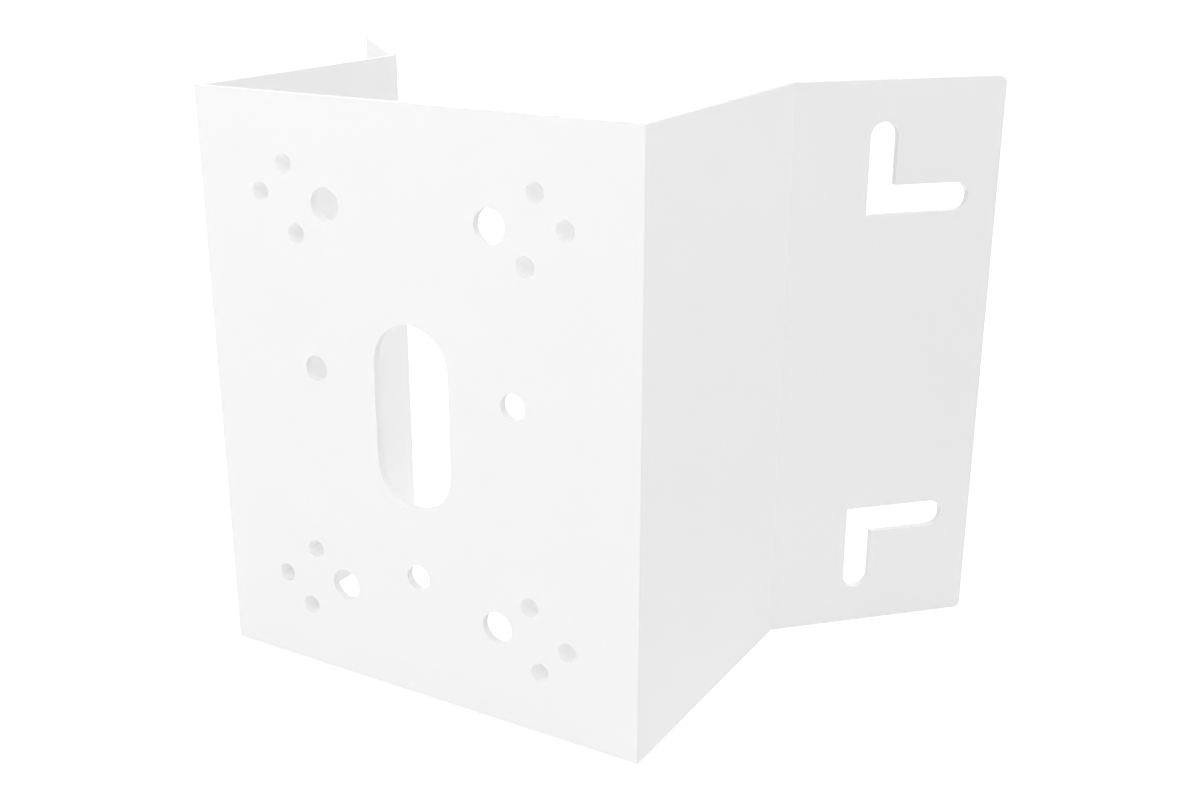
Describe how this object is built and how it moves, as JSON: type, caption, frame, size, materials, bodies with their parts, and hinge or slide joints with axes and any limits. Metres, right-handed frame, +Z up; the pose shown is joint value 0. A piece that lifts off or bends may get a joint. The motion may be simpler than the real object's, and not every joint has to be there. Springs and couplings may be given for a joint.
{
  "type": "camera corner bracket",
  "caption": "Folded sheet-metal bracket that carries a security camera on an outside building corner, with a flat camera plate, a cable slot and two splayed slotted flanges.",
  "frame": {"origin": "centre of the front plate's outer face, which is the centre of its four-hole screw patterns", "axes": "+X across the plate, +Y from the plate back to the building, +Z up; the camera leaves along -Y"},
  "size_m": [0.2476, 0.1436, 0.18],
  "materials": {
    "white_coating": "white powder coat, fine and nearly smooth",
    "coated_nut": "white powder coat over steel"
  },
  "bodies": {
    "root": {"bracket": "white_coating", "nut_end_lower_left": "coated_nut", "nut_end_lower_right": "coated_nut", "nut_end_upper_left": "coated_nut", "nut_end_upper_right": "coated_nut", "nut_side_lower_left": "coated_nut", "nut_side_lower_right": "coated_nut", "nut_side_upper_left": "coated_nut", "nut_side_upper_right": "coated_nut", "nut_inner_lower_left": "coated_nut", "nut_inner_lower_right": "coated_nut", "nut_inner_upper_left": "coated_nut", "nut_inner_upper_right": "coated_nut"}
  },
  "joints": []
}
